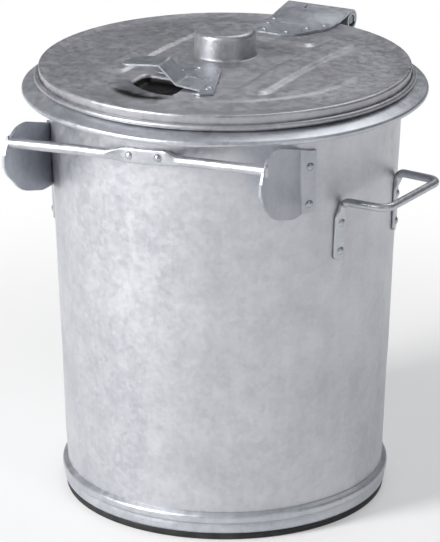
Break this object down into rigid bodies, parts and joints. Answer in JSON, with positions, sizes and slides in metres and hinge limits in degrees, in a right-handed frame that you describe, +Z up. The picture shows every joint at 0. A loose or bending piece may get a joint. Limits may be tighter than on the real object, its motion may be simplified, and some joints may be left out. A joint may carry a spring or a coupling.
{
  "type": "dustbin_with_lid",
  "caption": "Galvanized steel dustbin with a hinged, ribbed lid, a riveted lifting bar at the front, rod side handles and a black rubber foot ring",
  "frame": {"origin": "Centre of the underside of the rubber foot ring, on the body's axis. +Z is up, the lifting bar is at -Y, the hinge at +Y and the side handles at -X and +X.", "axes": "x to the right seen from the front, y to the back, z up"},
  "size_m": [0.4394, 0.4165, 0.473],
  "materials": {
    "galvanized_body": "matt",
    "galvanized_hoop": "matt",
    "galvanized_lid": "matt",
    "galvanized_fitting": "matt",
    "galvanized_rod": "satin",
    "galvanized_grip": "satin",
    "galvanized_rivet": "satin",
    "steel_wire": "satin",
    "black_rubber": "matt"
  },
  "bodies": {
    "body": {"body_shell": "galvanized_body", "bottom_pan": "galvanized_body", "foot_ring": "black_rubber", "foot_hoop": "galvanized_hoop", "collar": "galvanized_hoop", "collar_wire": "steel_wire", "front_bar": "galvanized_rod", "bar_rivets": "galvanized_rivet", "bar_ear_left": "galvanized_fitting", "bar_ear_right": "galvanized_fitting", "ear_rivets": "galvanized_rivet", "handle_left": "galvanized_rod", "handle_right": "galvanized_rod", "handle_rivets": "galvanized_rivet", "hinge_bracket": "galvanized_fitting", "bracket_rivets": "galvanized_rivet", "hinge_pin": "steel_wire"},
    "lid": {"lid_shell": "galvanized_lid", "lid_wire": "steel_wire", "hinge_leaf": "galvanized_fitting", "leaf_rivets": "galvanized_rivet", "lid_grip": "galvanized_grip", "grip_rivets": "galvanized_rivet"}
  },
  "joints": [
    {"name": "lid_hinge", "type": "hinge", "parent": "body", "child": "lid", "pos_m": [0, 0.206, 0.438], "axis": [-1, 0, 0], "range_deg": [0, 180]}
  ]
}
